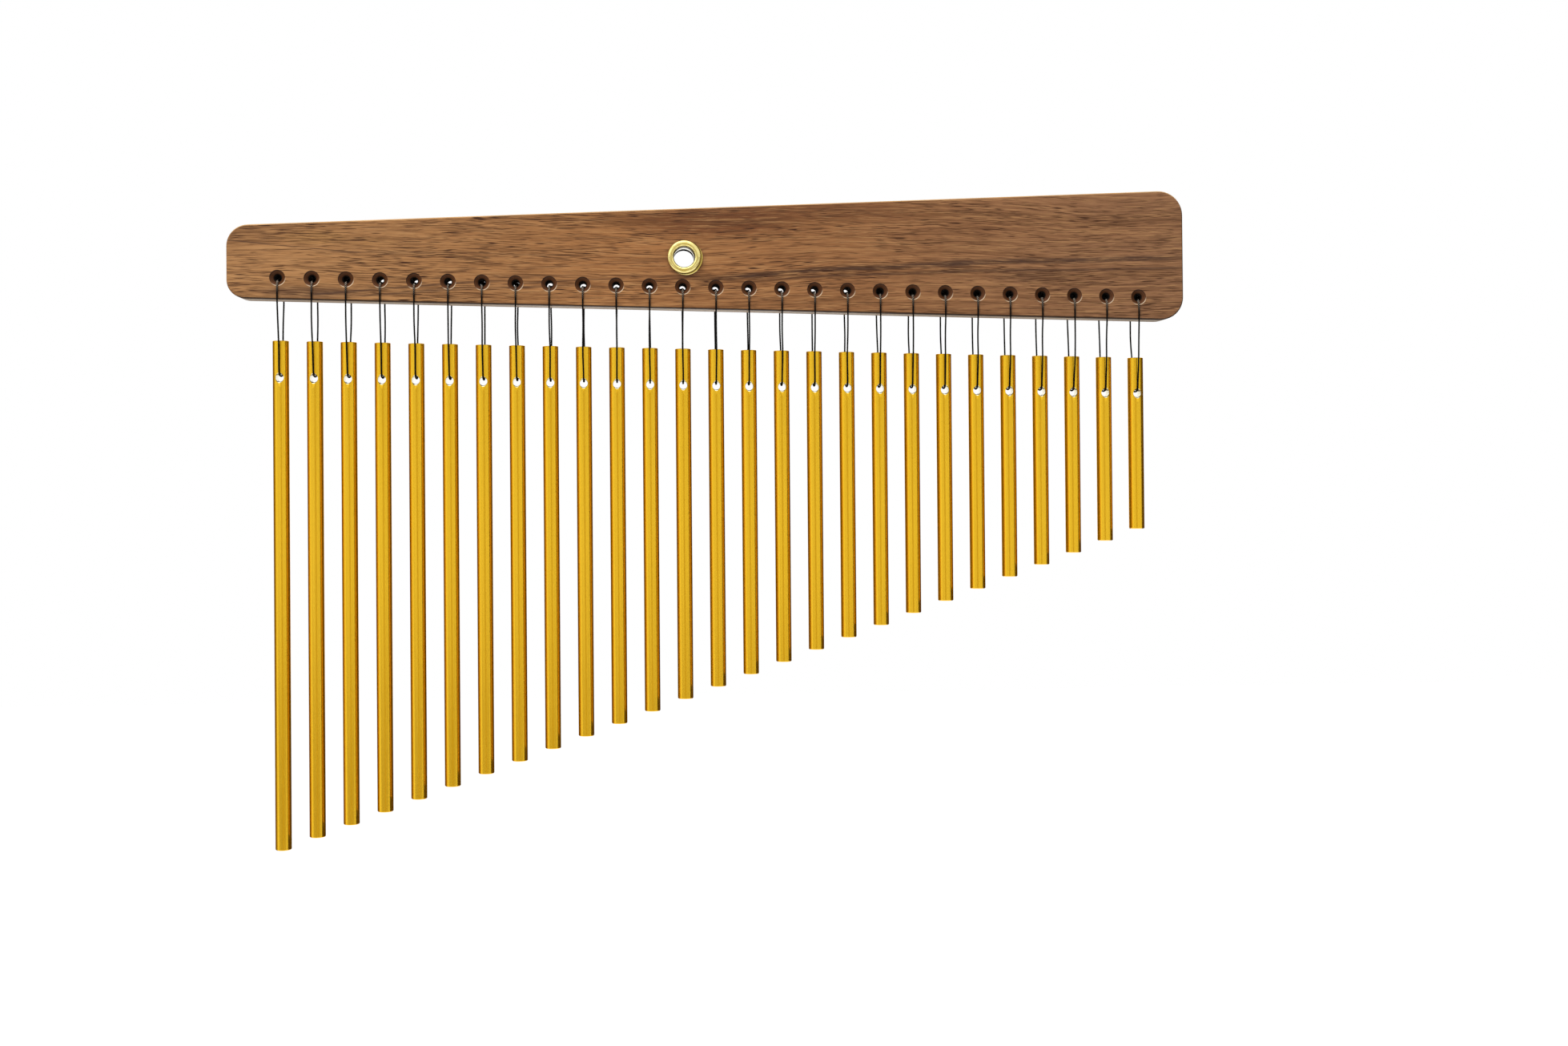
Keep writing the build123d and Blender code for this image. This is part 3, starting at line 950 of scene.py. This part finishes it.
def knot_shape(chance):
    """A small overhand knot with its two cut ends, about its own middle."""
    shape = bmesh.new()
    line = []
    for step in range(KNOT_STEPS + 1):
        t = 2 * math.pi * step / KNOT_STEPS
        across = math.sin(t) + 2 * math.sin(2 * t)
        up = math.cos(t) - 2 * math.cos(2 * t)
        line.append(Vector((across, -math.sin(3 * t), up)) * KNOT_SCALE)
    add_tube(shape, line, CORD_DIAMETER * KNOT_THICKNESS)
    middle_spread, end_spread = TAIL_SPREAD
    for length, lean in zip(TAIL_LENGTHS, (-1, 1)):
        middle_x = lean * TAIL_MIDDLE[0] + chance.uniform(-middle_spread, middle_spread)
        end_x = lean * TAIL_END[0] + chance.uniform(-end_spread, end_spread)
        start = Vector((lean * TAIL_START[0], TAIL_START[1], 0))
        middle = Vector((middle_x, TAIL_MIDDLE[1], -TAIL_BEND * length))
        end = Vector((end_x, TAIL_END[1], -length))
        line = evenly(spline_points([start, middle, end]), CORD_STEP)
        add_tube(shape, line, CORD_DIAMETER * TAIL_THICKNESS)
    bmesh.ops.recalc_face_normals(shape, faces=shape.faces)
    return shape


def add_cords(material):
    chance = random.Random(RANDOM_SEED)
    for number in NUMBERS:
        hole = mantle_hole(number)
        line = [hole + point for point in evenly(spline_points(loop_route(number, chance)), CORD_STEP)]
        shape = bmesh.new()
        add_tube(shape, line, CORD_DIAMETER / 2, lip_bend_share(line, hole))
        bmesh.ops.recalc_face_normals(shape, faces=shape.faces)
        mesh = finished_mesh(f"loop_{number}", shape, material, sharp_deg=CORD_SHARP_DEG)
        loop = add_piece(f"loop_{number}", mesh, f"cord_{number}", f"cord_{number}")
        knot_mesh = finished_mesh(f"knot_{number}", knot_shape(chance), material, sharp_deg=CORD_SHARP_DEG)
        middle = hole + knot_place(number)
        knot = add_piece(f"knot_{number}", knot_mesh, f"cord_{number}", place=middle)


# Studio: a pale floor below the bars, a white surround, soft lamps, and cards that only gloss shows
FLOOR_HEIGHT = -1.25
FLOOR_HALF = 8.0
FLOOR_TONE = 0.60
FLOOR_GLOW = 0.70
SURROUND_LIGHT = 0.55
CARD_LOW = -1.24
CARD_HIGH = 0.20
Card = namedtuple("Card", "name corners colour")


def upright(start, end, low=CARD_LOW, high=CARD_HIGH):
    """Corners of an upright card between two places on the floor plan."""
    return [(*start, low), (*end, low), (*end, high), (*start, high)]


def level(start, end, height):
    """Corners of a level card between two opposite places on the floor plan."""
    return [(*start, height), (end[0], start[1], height), (*end, height), (start[0], end[1], height)]


CARDS = [
    Card("right_card", upright((1.62, -0.62), (0.85, 1.30)), (0.09, 0.055, 0.012)),
    Card("back_card", upright((0.85, 1.30), (0.30, 1.52)), (0.10, 0.075, 0.05)),
    Card("low_card", upright((0.30, 1.52), (-0.25, 1.55), high=-0.45), (0.10, 0.075, 0.05)),
    Card("left_card", upright((-0.25, 1.55), (-1.50, 0.35)), (0.17, 0.12, 0.08)),
    Card("left_soft_card", upright((-1.50, 0.35), (-1.66, -0.16)), (0.40, 0.30, 0.18)),
    Card("middle_card", upright((-0.20, -1.20), (0.15, -1.20), high=0.40), (0.60, 0.50, 0.20)),
    Card("front_low_card", upright((-4.0, -2.5), (4.0, -2.5), high=-0.60), (0.36, 0.30, 0.19)),
    Card("front_high_card", upright((-4.0, -2.5), (4.0, -2.5), 0.06, 0.30), (0.30, 0.28, 0.24)),
    Card("high_card", upright((-1.40, -0.60), (-0.80, -1.20), 0.30, 1.10), (2.0, 2.0, 2.0)),
    Card("top_card", level((-0.7, -0.9), (0.5, -0.1), 0.9), (2.5, 2.5, 2.5)),
]
Lamp = namedtuple("Lamp", "name place aim size watts")
LAMPS = [
    Lamp("overhead", (-0.25, -0.55, 1.25), (0.0, 0.0, -0.05), 1.2, 12.0),
    Lamp("front_left", (-1.20, -1.60, 0.55), (0.0, 0.0, -0.10), 1.0, 12.0),
    Lamp("rear_fill", (0.60, 1.70, 0.70), (0.0, 0.0, -0.10), 1.2, 10.0),
]


def seen_directly(tree):
    """1 for camera, glossy and transmission rays, which show the white surround as it is."""
    path = tree.nodes.new("ShaderNodeLightPath")
    total = path.outputs["Is Camera Ray"]
    for kind in ("Is Glossy Ray", "Is Transmission Ray"):
        most = tree.nodes.new("ShaderNodeMath")
        most.operation = "MAXIMUM"
        tree.links.new(total, most.inputs[0])
        tree.links.new(path.outputs[kind], most.inputs[1])
        total = most.outputs[0]
    return total


def light_surround():
    world = bpy.data.worlds.new("surround")
    bpy.context.scene.world = world
    world.use_nodes = True
    tree = world.node_tree
    tree.nodes.clear()
    soft = tree.nodes.new("ShaderNodeBackground")
    soft.inputs["Color"].default_value = (1, 1, 1, 1)
    soft.inputs["Strength"].default_value = SURROUND_LIGHT
    white = tree.nodes.new("ShaderNodeBackground")
    white.inputs["Color"].default_value = (1, 1, 1, 1)
    white.inputs["Strength"].default_value = 1.0
    mix = tree.nodes.new("ShaderNodeMixShader")
    output = tree.nodes.new("ShaderNodeOutputWorld")
    tree.links.new(seen_directly(tree), mix.inputs[0])
    tree.links.new(soft.outputs[0], mix.inputs[1])
    tree.links.new(white.outputs[0], mix.inputs[2])
    tree.links.new(mix.outputs[0], output.inputs[0])


def floor_material():
    material = bpy.data.materials.new("pale_floor")
    material.use_nodes = True
    tree = material.node_tree
    tree.nodes.clear()
    matt = tree.nodes.new("ShaderNodeBsdfDiffuse")
    matt.inputs["Color"].default_value = (FLOOR_TONE, FLOOR_TONE, FLOOR_TONE, 1)
    glow = tree.nodes.new("ShaderNodeEmission")
    lit = tree.nodes.new("ShaderNodeMath")
    lit.operation = "MULTIPLY"
    lit.inputs[1].default_value = FLOOR_GLOW
    total = tree.nodes.new("ShaderNodeAddShader")
    output = tree.nodes.new("ShaderNodeOutputMaterial")
    tree.links.new(seen_directly(tree), lit.inputs[0])
    tree.links.new(lit.outputs[0], glow.inputs["Strength"])
    tree.links.new(matt.outputs[0], total.inputs[0])
    tree.links.new(glow.outputs[0], total.inputs[1])
    tree.links.new(total.outputs[0], output.inputs[0])
    return material


def card_material(name, colour):
    material = bpy.data.materials.new(name)
    material.use_nodes = True
    tree = material.node_tree
    tree.nodes.clear()
    glow = tree.nodes.new("ShaderNodeEmission")
    glow.inputs["Color"].default_value = (*colour, 1)
    output = tree.nodes.new("ShaderNodeOutputMaterial")
    tree.links.new(glow.outputs[0], output.inputs[0])
    return material


def add_sheet(name, corners, material):
    mesh = bpy.data.meshes.new(name)
    mesh.from_pydata(corners, [], [(0, 1, 2, 3)])
    mesh.materials.append(material)
    sheet = bpy.data.objects.new(name, mesh)
    bpy.context.scene.collection.objects.link(sheet)
    return sheet


def add_studio():
    half = FLOOR_HALF
    square = [(-half, -half), (half, -half), (half, half), (-half, half)]
    add_sheet("floor", [(x, y, FLOOR_HEIGHT) for x, y in square], floor_material())
    for card in CARDS:
        sheet = add_sheet(card.name, card.corners, card_material(card.name, card.colour))
        sheet.visible_camera = False
        sheet.visible_diffuse = False
        sheet.visible_transmission = False
        sheet.visible_shadow = False
    for lamp in LAMPS:
        light = bpy.data.lights.new(lamp.name, "AREA")
        light.shape = "SQUARE"
        light.size = lamp.size
        light.energy = lamp.watts
        holder = bpy.data.objects.new(lamp.name, light)
        bpy.context.scene.collection.objects.link(holder)
        holder.location = lamp.place
        holder.rotation_euler = (Vector(lamp.aim) - Vector(lamp.place)).to_track_quat("-Z", "Y").to_euler()
        holder.visible_camera = False
        holder.visible_glossy = False
    light_surround()


def add_camera():
    data = bpy.data.cameras.new("photo_camera")
    data.lens = LENS_MM
    data.shift_y = CAMERA_SHIFT_Y
    camera = bpy.data.objects.new("photo_camera", data)
    bpy.context.scene.collection.objects.link(camera)
    camera.location = CAMERA_PLACE
    camera.rotation_euler = [math.radians(angle) for angle in CAMERA_TURN_DEG]
    bpy.context.scene.camera = camera


def main():
    bpy.context.scene.view_settings.view_transform = "Standard"
    add_camera()
    add_studio()
    frame["nodes"]["mantle"].material_slots[0].material = wood_material()
    add_bars(gold_material(), bare_metal_material())
    add_grommet(brass_material(), barrel_material(), rear_shade_material())
    add_cords(cord_material())


main()
